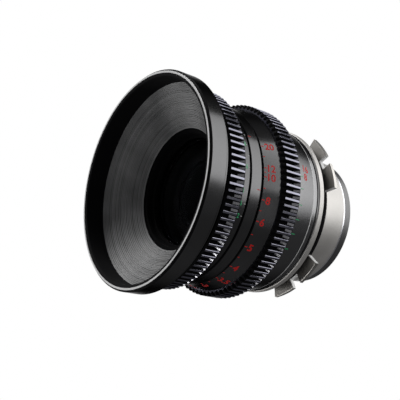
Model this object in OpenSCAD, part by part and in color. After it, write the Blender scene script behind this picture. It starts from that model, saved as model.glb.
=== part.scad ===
// Cinema prime lens: geared iris and focus rings on a fixed barrel, six-blade iris,
// cam-driven focus carriage and a four-lobe steel bayonet mount.
// Optical axis along Y, front toward -Y, +Z up, origin at the centre of the mount seat.

/* [Front] */
// Outside diameter of the front barrel, clamped by a matte box
front_od = 85; // [84:0.5:90]
// Wall of the front barrel
front_wall = 2.75; // [2.5:0.05:3.2]
// Length of the outer band of the front barrel
front_band = 7.4; // [6.5:0.1:8]
// Depth from the front rim to the edge of the ribbed cone
hood_depth = 8; // [7.5:0.1:12]
// Opening at the small end of the ribbed cone
cone_hole_d = 48.4; // [47.6:0.2:49]
// Axial depth of the ribbed cone
cone_depth = 10; // [9.8:0.1:10.4]
// Number of ribs on the cone
cone_ribs = 26; // [16:1:30]

/* [Drive gears] */
// Teeth on each drive gear
gear_teeth = 96; // [95:1:99]
// Module of the drive gears
gear_module = 0.8; // [0.79:0.005:0.81]
// Length of the iris gear teeth
iris_gear_w = 6.1; // [5.5:0.1:8]
// Length of the focus gear teeth
focus_gear_w = 7.9; // [7:0.1:11]

/* [Scale bands] */
// Width of the iris scale band
iris_band_w = 5.3; // [5:0.1:7]
// Width of the fixed index ring
index_w = 5; // [4.5:0.1:7]
// Width of the slanted focus scale band
focus_band_w = 7.3; // [6.5:0.1:9]
// Drop from the gear root to the index ring
index_drop = 1.4; // [1.1:0.1:1.8]
// Width of the rear barrel
rear_barrel_w = 11.3; // [10:0.1:15]
// Drop from the gear root to the front edge of the rear barrel
rear_drop = 1.1; // [0.6:0.1:1.4]

/* [Mount] */
// Diameter of the locating tube
tube_d = 54; // [53.9:0.01:54]
// Length of the locating tube behind the seat
tube_len = 15.1; // [13.5:0.1:16]
// Reach of the mount lobes beyond the hub
lobe_reach = 5.5; // [5:0.1:5.8]
// Thickness of the mount lobes
lobe_t = 1.8; // [1.6:0.1:2.2]
// Angle covered by each lobe
lobe_angle = 41; // [38:1:44]
// Turn of the lobes about the axis
lobe_turn = 57; // [40:1:60]
// Step from the tube to the hub between the lobes
hub_step = 4; // [3.9:0.05:4.3]
// Step from the hub to the mount ring in front of the lobes
ring_step = 3.5; // [3.2:0.1:3.8]
// Width of the groove in front of the lobes, for the locking ring of the camera
lock_groove_w = 3.6; // [3.3:0.1:4]
// Width of the mount ring
mount_ring_w = 2.6; // [2.4:0.1:3.5]
// Width of the index slot in each lobe
lobe_slot_w = 4; // [3.5:0.1:4.5]

/* [Mechanism] */
// Turn of the iris ring from open to closed
iris_turn = 50; // [40:1:50]
// Turn of the focus ring from far to near
focus_turn = 240; // [200:5:260]
// Travel of the focus carriage
focus_travel = 6; // [5:0.25:6]
// Radius of the fully open iris
iris_open_r = 14; // [13:0.25:14]

/* [Hidden] */
$fn = 128;
eps = 0.01;

// Fits and gaps
run_gap = 0.05;
side_gap = 0.4;
air_gap = 0.3;
slot_gap = 0.1;

// Drive gear profile
tip_r = gear_module * (gear_teeth + 2) / 2;
root_r = gear_module * (gear_teeth / 2 - 1.25);
slot_root = 0.55 * gear_module;
slot_tip = 1.0 * gear_module;
slot_slope = (slot_tip - slot_root) / (tip_r - root_r);
ramp_len = 1.9;
tooth_chamfer = 0.9;
index_r = root_r - index_drop;

// Fixed inner barrel under the gears
ring_depth = 5.8;
main_wall = 2.2;
main_or = root_r - ring_depth;
main_ir = main_or - main_wall;

// Stations along the axis, seat at zero and front positive
shim_t = 0.6;
rear_step = 2;
rim_rear = 0.8;
rim_front = 0.8;
groove_thin = 0.5;
groove_wide = 1.1;
front_r = front_od / 2;
bore_r = front_r - front_wall;
hole_r = cone_hole_d / 2;
cone_clear = 2.85;
cone_rise = max(0, bore_r - tip_r) * cone_depth / (bore_r - hole_r);
z_groove = lobe_t + lock_groove_w;
z_ring = z_groove + mount_ring_w;
z_shim = z_ring + shim_t;
z_step = z_shim + rear_step;
z_rear = z_step + rear_barrel_w;
z_focus0 = z_rear + side_gap;
z_focus_t0 = z_focus0 + rim_rear;
z_focus_t1 = z_focus_t0 + focus_gear_w;
z_focus1 = z_focus_t1 + focus_band_w;
z_index0 = z_focus1 + groove_wide;
z_index1 = z_index0 + index_w;
z_iris0 = z_index1 + groove_thin;
z_iris_t0 = z_iris0 + iris_band_w;
z_iris_t1 = z_iris_t0 + iris_gear_w;
z_iris1 = z_iris_t1 + rim_front;
z_cone1 = z_iris1 + cone_clear + cone_rise;
z_cone0 = z_cone1 - cone_depth;
z_front = z_cone1 + hood_depth;
z_band = z_front - front_band;
z_flange = z_shim + 4;
z_main1 = z_cone0 + 1.5;

// Front cone
cone_lip = 0.8;
cone_edge = 1.0;
boss_r = main_or - side_gap;
boss_z = z_main1 + 0.6;
rib_depth = 0.4;
cell_space = 2.6;
cell_or = main_ir - cell_space;
relief_slope = (z_cone1 - cone_edge - boss_z) / (bore_r - boss_r);
relief_gap = 0.45;
relief_r = boss_r + (z_iris1 - boss_z) / relief_slope + relief_gap;
relief_z = boss_z + (main_or + run_gap - boss_r - relief_gap) * relief_slope;

// Front barrel
skirt_r = bore_r + 1;
rim_chamfer = 0.9;
edge_chamfer = 0.5;
lip_chamfer = 0.2;

// Iris ring band
iris_band_r0 = index_r - 0.1;
iris_band_r1 = root_r - 0.7;

// Focus ring band
focus_band_r0 = index_r - 0.6;
focus_band_r1 = root_r - 0.35;
focus_lip = 0.6;
sleeve_wall = 1.75;
sleeve_ir = main_or + run_gap;
sleeve_or = sleeve_ir + sleeve_wall;

// Rear barrel
rear_r = root_r - rear_drop;
rear_end_r = rear_r - 2;
rear_edge = 0.3;

// Mount
tube_r = tube_d / 2;
tube_wall = 1.8;
tube_ir = tube_r - tube_wall;
throat_r = tube_ir + 0.3;
hub_r = tube_r + hub_step;
lobe_r = hub_r + lobe_reach;
mount_r = hub_r + ring_step;
step_r = mount_r - 0.6;
shim_r = mount_r - 0.3;
slot_floor = hub_r + 1.7;
screw_r = 0.85;
screw_clear_r = 1.05;
screw_head_r = 1.95;
screw_pcr = tube_r + screw_head_r + 0.15;
screw_head_h = 1.25;
recess_r = 0.75;
rear_ring_r = tube_r - 0.4;
rear_ring_len = 3.9;
rear_ring_ir = tube_ir - 1;
spigot_len = 2.1;

// Iris drive
iris_pin_r = 1;
iris_pin_a = 200;
z_pin = z_iris0 + 1.4;
skirt_z = z_pin + 1.8;
actuator_or = main_ir - run_gap;
actuator_wall = 1.95;
actuator_ir = actuator_or - actuator_wall;
actuator_t = 1.2;
z_act1 = z_pin + 1.4;
z_act0 = z_pin - 5.8;
iris_depth = 10.4;
z_base0 = z_pin - iris_depth;
base_t = 1.4;
z_base1 = z_base0 + base_t;
z_rim1 = z_act0 - air_gap;
rim_wall = 1.7;
base_rim_r = main_ir - rim_wall;

// Iris blades
blade_n = 6;
blade_t = 0.25;
blade_pitch = 0.4;
blade_arc0 = -3;
blade_arc1 = 125;
pivot_edge = 2.4;
pivot_pcr = base_rim_r - pivot_edge;
blade_edge = 1.9;
blade_or = pivot_pcr - blade_edge;
actuator_lip = 4.1;
actuator_in = pivot_pcr - actuator_lip;
pivot_r = 0.6;
drive_a = 9;
blade_turn = 25;
tab_r = 1.9;
drive_tab_r = 1.5;
z_blade0 = z_base1 + 0.2;
slot_steps = 20;
cam_half = pivot_r + 0.15;

// Front glass
glass_wall = 4;
glass_r = cell_or - glass_wall;
cell_z0 = z_act0 + actuator_t + side_gap;
ledge_t = 0.4;
ledge_w = 1.4;
ledge_r = glass_r - ledge_w;
cell_z1 = z_cone0 - cone_lip;
front_curve = 62;
front_back_curve = 160;
front_edge = 2.4;
z_glass0 = cell_z0 + ledge_t;
z_glass1 = z_glass0 + front_edge;
ret_w = 1.2;
ret_in = glass_r - ret_w;
ret_len = 1.5;

// Focus drive
focus_pin_r = 1.5;
focus_pin_a = 250;
z_fpin = z_focus0 + 3.6;
groove_half = focus_pin_r + slot_gap;
z_cam0 = z_fpin - groove_half;
cam_h = focus_travel + 2 * groove_half;
cam_rate = focus_turn / focus_travel;
cam_slices = 32;
cam_steps = 6;
key_w = 3.9;
key_len = 8;
key_r1 = main_or - air_gap;
z_key = z_flange + 2.4;
stop_r = 0.9;
stop_pcr = sleeve_or + 1.6;
stop_a = 20;
stop_deep = 2.5;
stop_reach = 1.4;
screw_z = z_focus_t1 + 1.6;
set_r = 1;
set_a = 52;

// Focus carriage
car_or = main_ir - run_gap;
car_wall = 2.35;
car_ir = car_or - car_wall;
key_r0 = car_ir + 0.6;
z_car0 = z_flange + 0.8;
z_car1 = z_base0 - 0.6 - focus_travel;
cell_gap = 0.6;
cell_wall = 4;
cell_wall_r = tube_ir - cell_gap;
rear_glass_r = cell_wall_r - cell_wall;
rear_ledge_r = rear_glass_r - ledge_w;
z_cell0 = -10.5;
front_tube_r = rear_glass_r + 2;
z_ledge1 = z_car0 + 4.6;
z_ledge2 = -2.5;
ledge_h = 1.4;
r1_front = 70;
r1_rear = 90;
r2_front = 55;
r2_rear = 80;
e1_edge = 1.6;
e2_edge = 2;
rear_ret = 1.6;

function sag(curve, r) = curve - sqrt(curve * curve - r * r);
function lip(curve) = sag(curve, rear_glass_r) - sag(curve, rear_ledge_r);

z_e1a = z_ledge1 + lip(r1_rear);
z_e1b = z_e1a + e1_edge;
z_ret1 = z_e1b + lip(r1_front);
z_e2b = z_ledge2 - lip(r2_front);
z_e2a = z_e2b - e2_edge;
z_ret2 = z_e2a - lip(r2_rear);
z_tube1 = z_ret1 + rear_ret;

// Place the axis of the lens along Y with the front toward -Y
module axis_y() {
    rotate([90, 0, 0]) children();
}

// Wedge of a disc between two angles
module wedge(a0, a1, r) {
    steps = ceil((a1 - a0) / 20);
    polygon(concat([[0, 0]], [for (i = [0:steps]) r * [cos(a0 + (a1 - a0) * i / steps),
        sin(a0 + (a1 - a0) * i / steps)]]));
}

// Round bar along a radius
module radial_bar(a, z, r, r0, r1) {
    rotate(a) translate([r0, 0, z]) rotate([0, 90, 0]) cylinder(r = r, h = r1 - r0);
}

// Plain ring between two radii and two stations
module ring(r0, r1, z0, z1) {
    rotate_extrude() polygon([[r0, z0], [r1, z0], [r1, z1], [r0, z1]]);
}

// Tooth spaces of a drive gear
module tooth_spaces(z0, z1) {
    over = 0.5;
    wide = slot_root + slot_slope * (tip_r + over - root_r);
    translate([0, 0, z0]) linear_extrude(z1 - z0)
        for (i = [0:gear_teeth - 1])
            rotate(i * 360 / gear_teeth)
                polygon([[root_r, -slot_root], [tip_r + over, -wide], [tip_r + over, wide], [root_r, slot_root]]);
}

// Sloped run-out at the rear end of the tooth spaces
module tooth_ramp(z0, r0) {
    rotate_extrude() polygon([[r0, z0], [tip_r - 0.15, z0], [root_r - 0.1, z0 + ramp_len], [r0, z0 + ramp_len]]);
}

module front_barrel() {
    color("#16171a") axis_y() rotate_extrude() polygon([
        [bore_r, z_cone1 - cone_edge], [skirt_r, z_cone1 - cone_edge], [skirt_r, z_band],
        [front_r - edge_chamfer, z_band], [front_r, z_band + edge_chamfer],
        [front_r, z_front - rim_chamfer], [front_r - rim_chamfer, z_front],
        [bore_r + lip_chamfer, z_front], [bore_r, z_front - lip_chamfer]]);
}

module front_cone() {
    dr = (bore_r - hole_r) / cone_ribs;
    dz = cone_depth / cone_ribs;
    ribs = [for (i = [0:cone_ribs - 1], k = [0, 1])
        [bore_r - dr * (i + k / 2), z_cone1 - dz * (i + k / 2) - k * rib_depth]];
    color("#3a3b3d") axis_y() rotate_extrude() polygon(concat(
        [[hole_r, z_cone0], [hole_r, cell_z1], [cell_or, cell_z1], [cell_or, skirt_z], [main_ir, skirt_z],
        [main_ir, z_main1], [boss_r, z_main1], [boss_r, boss_z], [bore_r, z_cone1 - cone_edge]], ribs));
}

module main_barrel() {
    pin_slack = asin((iris_pin_r + slot_gap) / main_ir);
    color("#2b2c2f") axis_y() difference() {
        ring(main_ir, main_or, z_flange, z_main1);
        translate([0, 0, z_pin - iris_pin_r - slot_gap]) linear_extrude(2 * (iris_pin_r + slot_gap))
            wedge(iris_pin_a - pin_slack, iris_pin_a + iris_turn + pin_slack, main_or + 2);
        rotate(focus_pin_a)
            translate([main_ir - 1, -focus_pin_r - run_gap, z_cam0])
                cube([main_or - main_ir + 2, 2 * (focus_pin_r + run_gap), cam_h]);
        for (a = [-120, 120])
            rotate(focus_pin_a + a)
                translate([main_ir - 1, -key_w / 2 - run_gap, z_key - air_gap])
                    cube([main_or - main_ir + 2, key_w + 2 * run_gap, key_len + focus_travel + 2 * air_gap]);
    }
}

module index_ring() {
    r = index_r;
    c = 0.25;
    color("#1b1c1e") axis_y() rotate_extrude() polygon([
        [main_or, z_index0], [r - c, z_index0], [r, z_index0 + c], [r, z_index1 - c],
        [r - c, z_index1], [main_or, z_index1]]);
}

module rear_barrel() {
    color("#1a1b1d") axis_y() difference() {
        rotate_extrude() polygon([
            [throat_r, z_shim], [step_r, z_shim], [step_r, z_step], [rear_end_r - rear_edge, z_step],
            [rear_end_r, z_step + rear_edge], [rear_r, z_rear - 0.4], [rear_r - 0.4, z_rear], [main_or, z_rear],
            [main_or, z_flange], [throat_r, z_flange]]);
        for (a = [0:90:270])
            rotate(lobe_turn + a) translate([screw_pcr, 0, z_shim - 1]) cylinder(r = screw_r, h = 6);
        rotate(stop_a) translate([stop_pcr, 0, z_rear - stop_deep]) cylinder(r = stop_r, h = stop_deep + 1);
    }
}

module shim_ring() {
    color("#b9b6ae") axis_y() difference() {
        ring(throat_r, shim_r, z_ring, z_shim);
        for (a = [0:90:270])
            rotate(lobe_turn + a) translate([screw_pcr, 0, z_ring - 1]) cylinder(r = screw_clear_r, h = shim_t + 2);
    }
}

module pl_mount() {
    c = 0.3;
    color("#c9c8c4") axis_y() difference() {
        union() {
            rotate_extrude() polygon([
                [tube_ir, -tube_len], [tube_r - 0.4, -tube_len], [tube_r, -tube_len + 0.4], [tube_r, 0],
                [hub_r, 0], [hub_r, z_groove], [mount_r - c, z_groove], [mount_r, z_groove + c],
                [mount_r, z_ring - c], [mount_r - c, z_ring], [tube_ir, z_ring]]);
            linear_extrude(lobe_t) difference() {
                intersection() {
                    circle(lobe_r);
                    for (a = [0:90:270])
                        wedge(lobe_turn + a - lobe_angle / 2, lobe_turn + a + lobe_angle / 2, lobe_r + 4);
                }
                circle(hub_r - 0.5);
            }
        }
        for (a = [0:90:270])
            rotate(lobe_turn + a) {
                translate([slot_floor, -lobe_slot_w / 2, -1]) cube([lobe_r, lobe_slot_w, lobe_t + 2]);
                translate([screw_pcr, 0, -1]) cylinder(r = screw_clear_r, h = z_ring + 2);
                translate([screw_pcr, 0, 0]) cylinder(r1 = screw_head_r, r2 = screw_clear_r, h = screw_head_h);
            }
    }
}

module mount_screws() {
    color("#8c8b88") axis_y()
        for (a = [0:90:270])
            rotate(lobe_turn + a) translate([screw_pcr, 0, 0]) difference() {
                union() {
                    cylinder(r1 = screw_head_r, r2 = screw_clear_r, h = screw_head_h);
                    cylinder(r = screw_r, h = z_flange - air_gap);
                }
                translate([0, 0, -eps]) cylinder(r = recess_r, h = 0.8, $fn = 6);
            }
}

module rear_ring() {
    c = 0.6;
    color("#141516") axis_y() rotate_extrude() polygon([
        [rear_ring_ir, -tube_len - rear_ring_len], [rear_ring_r - c, -tube_len - rear_ring_len],
        [rear_ring_r, -tube_len - rear_ring_len + c], [rear_ring_r, -tube_len],
        [tube_ir, -tube_len], [tube_ir, -tube_len + spigot_len], [rear_ring_ir, -tube_len + spigot_len]]);
}

module front_cell() {
    color("#101011") axis_y() rotate_extrude() polygon([
        [ledge_r, cell_z0], [cell_or, cell_z0], [cell_or, cell_z1], [glass_r, cell_z1],
        [glass_r, z_glass0], [ledge_r, z_glass0]]);
}

module front_element() {
    back = sqrt(front_back_curve * front_back_curve - glass_r * glass_r);
    front = sqrt(front_curve * front_curve - glass_r * glass_r);
    color("#6f8fa8") axis_y() difference() {
        intersection() {
            translate([0, 0, z_glass0]) cylinder(r = glass_r, h = cell_z1 + front_edge - z_glass0);
            translate([0, 0, z_glass1 - front]) sphere(r = front_curve);
        }
        translate([0, 0, z_glass0 - back]) sphere(r = front_back_curve);
    }
}

module front_retainer() {
    z0 = z_glass1 + sag(front_curve, glass_r) - sag(front_curve, ret_in);
    color("#101011") axis_y() ring(ret_in, glass_r, z0, z0 + ret_len);
}

module iris_base() {
    color("#202122") axis_y() {
        rotate_extrude() polygon([
            [iris_open_r + 0.2, z_base0], [main_ir, z_base0], [main_ir, z_rim1], [base_rim_r, z_rim1],
            [base_rim_r, z_base1], [iris_open_r + 0.2, z_base1]]);
        for (i = [0:blade_n - 1])
            rotate(i * 360 / blade_n) translate([pivot_pcr, 0, z_base1 - 0.5])
                cylinder(r = pivot_r, h = z_rim1 - z_base1 + 0.5);
    }
}

module focus_stop() {
    color("#a9a8a4") axis_y()
        rotate(stop_a) translate([stop_pcr, 0, z_rear - stop_deep])
            cylinder(r = stop_r, h = stop_deep + side_gap + stop_reach);
}

module iris_ring() {
    color("#202227") axis_y() difference() {
        union() {
            difference() {
                rotate_extrude() polygon([
                    [main_or + run_gap, z_iris0], [iris_band_r0 - 0.3, z_iris0], [iris_band_r0, z_iris0 + 0.3],
                    [iris_band_r1, z_iris_t0 - 0.8], [tip_r - 0.8, z_iris_t0 - 0.8], [tip_r, z_iris_t0],
                    [tip_r, z_iris_t1 + 0.1], [tip_r - 0.6, z_iris1], [relief_r, z_iris1],
                    [main_or + run_gap, relief_z]]);
                tooth_spaces(z_iris_t0, z_iris_t1);
            }
            tooth_ramp(z_iris_t0 - 0.1, main_or + 2);
        }
        radial_bar(iris_pin_a, z_pin, iris_pin_r, main_or - 1, tip_r);
    }
}

module iris_actuator() {
    color("#4a4b4d") axis_y() difference() {
        rotate_extrude() polygon([
            [actuator_in, z_act0], [actuator_or, z_act0], [actuator_or, z_act1], [actuator_ir, z_act1],
            [actuator_ir, z_act0 + actuator_t], [actuator_in, z_act0 + actuator_t]]);
        translate([0, 0, z_act0 - 1]) linear_extrude(actuator_t + 2)
            for (i = [0:blade_n - 1])
                rotate(i * 360 / blade_n) cam_slot();
        radial_bar(iris_pin_a, z_pin, iris_pin_r, actuator_ir - 1, main_or);
    }
}

// Path of a blade drive pin seen from the turning cam plate
function turned(p, a) = [p[0] * cos(a) - p[1] * sin(a), p[0] * sin(a) + p[1] * cos(a)];
function drive_at(t) = [pivot_pcr, 0]
    + turned([pivot_pcr * cos(drive_a) - pivot_pcr, pivot_pcr * sin(drive_a)], blade_turn * t);
function cam_at(t) = turned(drive_at(t), -iris_turn * t);
function cam_out(t) = cam_at(t) * (1 + cam_half / norm(cam_at(t)));
function cam_in(t) = cam_at(t) * (1 - cam_half / norm(cam_at(t)));

module cam_slot() {
    polygon(concat([for (i = [0:slot_steps]) cam_out(i / slot_steps)],
        [for (i = [slot_steps:-1:0]) cam_in(i / slot_steps)]));
    for (t = [0, 1])
        translate(cam_at(t)) circle(cam_half);
}

module iris_pin() {
    color("#8c8b88") axis_y()
        radial_bar(iris_pin_a, z_pin, iris_pin_r, actuator_ir + 0.5, iris_band_r0 - 0.5);
}

module iris_blade(k) {
    z = z_blade0 + k * blade_pitch;
    d = drive_at(0);
    color("#2f3033") axis_y() rotate(k * 360 / blade_n) {
        translate([0, 0, z]) linear_extrude(blade_t) difference() {
            union() {
                difference() {
                    intersection() {
                        circle(blade_or);
                        wedge(blade_arc0, blade_arc1, 2 * blade_or);
                    }
                    circle(iris_open_r);
                }
                translate([pivot_pcr, 0]) circle(tab_r);
                translate([blade_or - 2, -tab_r]) square([pivot_pcr - blade_or + 2, 2 * tab_r]);
                translate(d) circle(drive_tab_r);
                rotate(drive_a) translate([blade_or - 2, -drive_tab_r])
                    square([pivot_pcr - blade_or + 2, 2 * drive_tab_r]);
            }
            translate([pivot_pcr, 0]) circle(pivot_r + run_gap);
        }
        translate([d[0], d[1], z + blade_t / 2]) cylinder(r = pivot_r, h = z_act0 + 1 - z - blade_t / 2);
    }
}

module blade_1() { iris_blade(0); }
module blade_2() { iris_blade(1); }
module blade_3() { iris_blade(2); }
module blade_4() { iris_blade(3); }
module blade_5() { iris_blade(4); }
module blade_6() { iris_blade(5); }

module focus_ring() {
    groove_slack = asin((stop_r + air_gap) / stop_pcr);
    free = 360 - focus_turn - 2 * groove_slack;
    color("#202227") axis_y() difference() {
        union() {
            difference() {
                rotate_extrude() polygon([
                    [sleeve_or, z_focus0], [tip_r - rim_rear, z_focus0], [tip_r, z_focus_t0],
                    [tip_r, z_focus_t1 - tooth_chamfer], [root_r + 0.5, z_focus_t1],
                    [focus_band_r1, z_focus_t1], [focus_band_r0, z_focus1 - 0.4],
                    [focus_band_r0 - 0.4, z_focus1], [main_or + air_gap, z_focus1],
                    [main_or + air_gap, z_focus1 - focus_lip], [sleeve_or, z_focus1 - focus_lip]]);
                tooth_spaces(z_focus_t0, z_focus_t1 + 1);
            }
            tooth_ramp(z_focus_t0 - 0.1, sleeve_or + 1);
        }
        translate([0, 0, z_focus0 - 1]) linear_extrude(1 + stop_reach + air_gap) difference() {
            circle(stop_pcr + stop_r + air_gap);
            circle(stop_pcr - stop_r - air_gap);
            wedge(stop_a + groove_slack, stop_a + groove_slack + free, 2 * stop_pcr);
        }
        for (a = [0, 120, 240])
            radial_bar(set_a + a, screw_z, set_r, sleeve_or - 0.5, tip_r);
    }
}

module cam_sleeve() {
    half = groove_half * cam_rate;
    color("#b08a3e") axis_y() difference() {
        ring(sleeve_ir, sleeve_or, z_focus0, z_focus1 - focus_lip);
        translate([0, 0, z_cam0]) rotate(focus_pin_a + groove_half * cam_rate)
            linear_extrude(height = cam_h, twist = cam_h * cam_rate, slices = cam_slices)
                polygon(concat(
                    [for (i = [0:cam_steps]) (sleeve_or + 1.2) * [cos(half * (2 * i / cam_steps - 1)),
                        sin(half * (2 * i / cam_steps - 1))]],
                    [for (i = [cam_steps:-1:0]) (sleeve_ir - 0.8) * [cos(half * (2 * i / cam_steps - 1)),
                        sin(half * (2 * i / cam_steps - 1))]]));
    }
}

module focus_screws() {
    socket_r = 0.5;
    deep = 0.8;
    head = focus_band_r0 + 0.6;
    color("#2a2a2c") axis_y()
        for (a = [0, 120, 240])
            difference() {
                radial_bar(set_a + a, screw_z, set_r, sleeve_or, head);
                rotate(set_a + a) translate([head - deep, 0, screw_z]) rotate([0, 90, 0])
                    cylinder(r = socket_r, h = deep + 1, $fn = 6);
            }
}

module focus_carriage() {
    color("#3c3d40") axis_y() difference() {
        rotate_extrude() polygon([
            [rear_glass_r, z_cell0], [cell_wall_r, z_cell0], [cell_wall_r, z_car0], [car_or, z_car0],
            [car_or, z_car1], [car_ir, z_car1], [car_ir, z_car0 + 2.6], [front_tube_r, z_car0 + 2.6],
            [front_tube_r, z_tube1], [rear_glass_r, z_tube1], [rear_glass_r, z_ledge1], [rear_ledge_r, z_ledge1],
            [rear_ledge_r, z_ledge1 - ledge_h], [rear_glass_r, z_ledge1 - ledge_h - 1],
            [rear_glass_r, z_ledge2 + ledge_h + 1], [rear_ledge_r, z_ledge2 + ledge_h],
            [rear_ledge_r, z_ledge2], [rear_glass_r, z_ledge2]]);
        radial_bar(focus_pin_a, z_fpin, focus_pin_r, car_ir - 1, main_or);
        for (a = [-120, 120])
            rotate(focus_pin_a + a) translate([key_r0, -key_w / 2, z_key]) cube([4, key_w, key_len]);
    }
}

module focus_pin() {
    color("#c2c1bd") axis_y()
        radial_bar(focus_pin_a, z_fpin, focus_pin_r, car_ir + 0.2, sleeve_or - air_gap);
}

module guide_keys() {
    color("#b08a3e") axis_y() intersection() {
        for (a = [-120, 120])
            rotate(focus_pin_a + a) translate([key_r0, -key_w / 2, z_key]) cube([6, key_w, key_len]);
        cylinder(r = key_r1, h = z_main1);
    }
}

module rear_element_1() {
    back = sqrt(r1_rear * r1_rear - rear_glass_r * rear_glass_r);
    front = sqrt(r1_front * r1_front - rear_glass_r * rear_glass_r);
    color("#6f8fa8") axis_y() intersection() {
        translate([0, 0, z_e1a - 5]) cylinder(r = rear_glass_r, h = e1_edge + 10);
        translate([0, 0, z_e1a + back]) sphere(r = r1_rear);
        translate([0, 0, z_e1b - front]) sphere(r = r1_front);
    }
}

module rear_element_2() {
    back = sqrt(r2_rear * r2_rear - rear_glass_r * rear_glass_r);
    front = sqrt(r2_front * r2_front - rear_glass_r * rear_glass_r);
    color("#6f8fa8") axis_y() intersection() {
        translate([0, 0, z_e2a - 5]) cylinder(r = rear_glass_r, h = e2_edge + 10);
        translate([0, 0, z_e2a + back]) sphere(r = r2_rear);
        translate([0, 0, z_e2b - front]) sphere(r = r2_front);
    }
}

module carriage_retainer() {
    color("#101011") axis_y() ring(rear_ledge_r, rear_glass_r, z_ret1, z_tube1);
}

module rear_retainer() {
    color("#101011") axis_y() ring(rear_ledge_r, rear_glass_r, z_ret2 - rear_ret, z_ret2);
}

front_barrel();
front_cone();
main_barrel();
index_ring();
rear_barrel();
shim_ring();
pl_mount();
mount_screws();
rear_ring();
front_cell();
front_element();
front_retainer();
iris_base();
focus_stop();
iris_ring();
iris_actuator();
iris_pin();
blade_1();
blade_2();
blade_3();
blade_4();
blade_5();
blade_6();
focus_ring();
cam_sleeve();
focus_screws();
focus_carriage();
focus_pin();
guide_keys();
rear_element_1();
rear_element_2();
carriage_retainer();
rear_retainer();
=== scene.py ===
import math
import bmesh
import bpy
from mathutils import Matrix, Vector


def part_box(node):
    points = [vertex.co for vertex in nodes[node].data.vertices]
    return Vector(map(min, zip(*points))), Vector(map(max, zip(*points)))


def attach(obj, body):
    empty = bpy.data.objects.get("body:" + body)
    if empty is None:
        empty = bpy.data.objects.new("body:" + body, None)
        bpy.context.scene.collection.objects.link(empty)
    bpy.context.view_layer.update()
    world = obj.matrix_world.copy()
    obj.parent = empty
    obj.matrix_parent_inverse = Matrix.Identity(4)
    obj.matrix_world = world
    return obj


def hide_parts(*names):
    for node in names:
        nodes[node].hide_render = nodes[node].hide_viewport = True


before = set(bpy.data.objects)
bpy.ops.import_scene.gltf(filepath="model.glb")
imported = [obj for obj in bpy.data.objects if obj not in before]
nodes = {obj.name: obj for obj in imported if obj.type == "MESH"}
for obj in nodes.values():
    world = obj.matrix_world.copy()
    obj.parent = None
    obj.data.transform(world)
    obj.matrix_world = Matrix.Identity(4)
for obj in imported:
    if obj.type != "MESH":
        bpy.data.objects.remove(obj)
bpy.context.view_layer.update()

MM = 0.001
STEPS = 288
TAU = 2 * math.pi

# Stations along the optical axis in mm: mount seat at zero, front positive
Z_FRONT = -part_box("front_barrel")[0].y / MM
Z_BAND = Z_FRONT - 7.4
Z_CONE1 = Z_FRONT - 8.0
Z_CONE0 = Z_CONE1 - 10.0
Z_FLANGE1 = Z_CONE0 + 2.1
Z_FLANGE0 = Z_CONE0 + 1.5
Z_LAND = Z_CONE0 - 0.8
Z_SPIGOT = Z_CONE0 - 2.2
Z_IRIS1 = -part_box("iris_ring")[0].y / MM
Z_IRIS0 = -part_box("iris_ring")[1].y / MM
Z_IRIS_T0 = Z_IRIS0 + 5.3
Z_IRIS_T1 = Z_IRIS_T0 + 6.1
Z_IRIS_LIP = 52.41
Z_IRIS_HOLE = Z_IRIS0 + 1.4
Z_INDEX1 = -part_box("index_ring")[0].y / MM
Z_INDEX0 = -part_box("index_ring")[1].y / MM
Z_FOCUS1 = -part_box("focus_ring")[0].y / MM
Z_FOCUS0 = -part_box("focus_ring")[1].y / MM
Z_FOCUS_T0 = Z_FOCUS0 + 0.8
Z_FOCUS_T1 = Z_FOCUS_T0 + 7.9
Z_FOCUS_HOLE = Z_FOCUS_T1 + 1.6
Z_REAR = -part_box("rear_barrel")[0].y / MM
Z_SHIM = -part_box("rear_barrel")[1].y / MM
Z_STEP = Z_SHIM + 2.0
Z_FLOOR = 12.6
Z_RING = -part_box("shim_ring")[1].y / MM
LOBE_T = 1.8
Z_GROOVE = LOBE_T + 3.6
Z_TUBE = -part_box("pl_mount")[1].y / MM
Z_END = -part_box("rear_ring")[1].y / MM
Z_RING_FRONT = Z_TUBE + 2.1

# Radii in mm
FRONT_R = 42.5
BORE_R = 39.75
HOLE_R = 24.2
TIP_R = 39.2
ROOT_R = 37.4
MAIN_R = 31.6
BAND_I0 = 35.9
BAND_I1 = 36.7
BAND_F0 = 35.4
BAND_F1 = 37.05
INDEX_R = 36.0
REAR_R0 = 34.3
REAR_R1 = 36.3
MOUNT_R = 34.5
LOBE_R = 36.5
HUB_R = 31.0
TUBE_R = 27.0
TUBE_IR = 25.2
PLATE_BORE_R = TUBE_R - 0.3
SHIM_R = 34.2
SCREW_R = 29.1
CELL_R = 26.8
SPIGOT_R = 29.4
FLANGE_R = 31.2
IRIS_LIP_R = 37.5
FOCUS_IR = 33.4
FOCUS_LIP_R = MAIN_R + 0.3
STOP_R0 = 33.8
STOP_R1 = 36.2
REAR_IR = 25.5
REAR_STEP_R = 33.9
RING_IR = 24.2
RING_R = 26.6
GLASS_R = 22.78
REAR_GLASS_R = 20.58
REAR_SEAT_R = 20.6
LEDGE_R = 19.2

# Bevels and small steps in mm
RUN = 0.05
FRONT_BEVEL = 0.75
BACK_BEVEL = 0.45
BAND_BEVEL = 0.3
INDEX_BEVEL = 0.22
MOUNT_BEVEL = 0.28
EDGE_BEVEL = 0.4
RING_BEVEL = 0.6
REBATE = 1.0
RIM_START = 1.25
LIP_STEP = 0.2
LIP_DROP = 0.3
LIP_DEPTH = 0.6
FOCUS_LIP = 0.6
STOP_DEPTH = 1.7
REAR_LINE = 0.65
REAR_LINE_RISE = 0.07
TUBE_ROUND = 0.9
TUBE_EDGE = 0.95
TUBE_RELIEF = 0.25
GLASS_ROUND = 0.12

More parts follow.
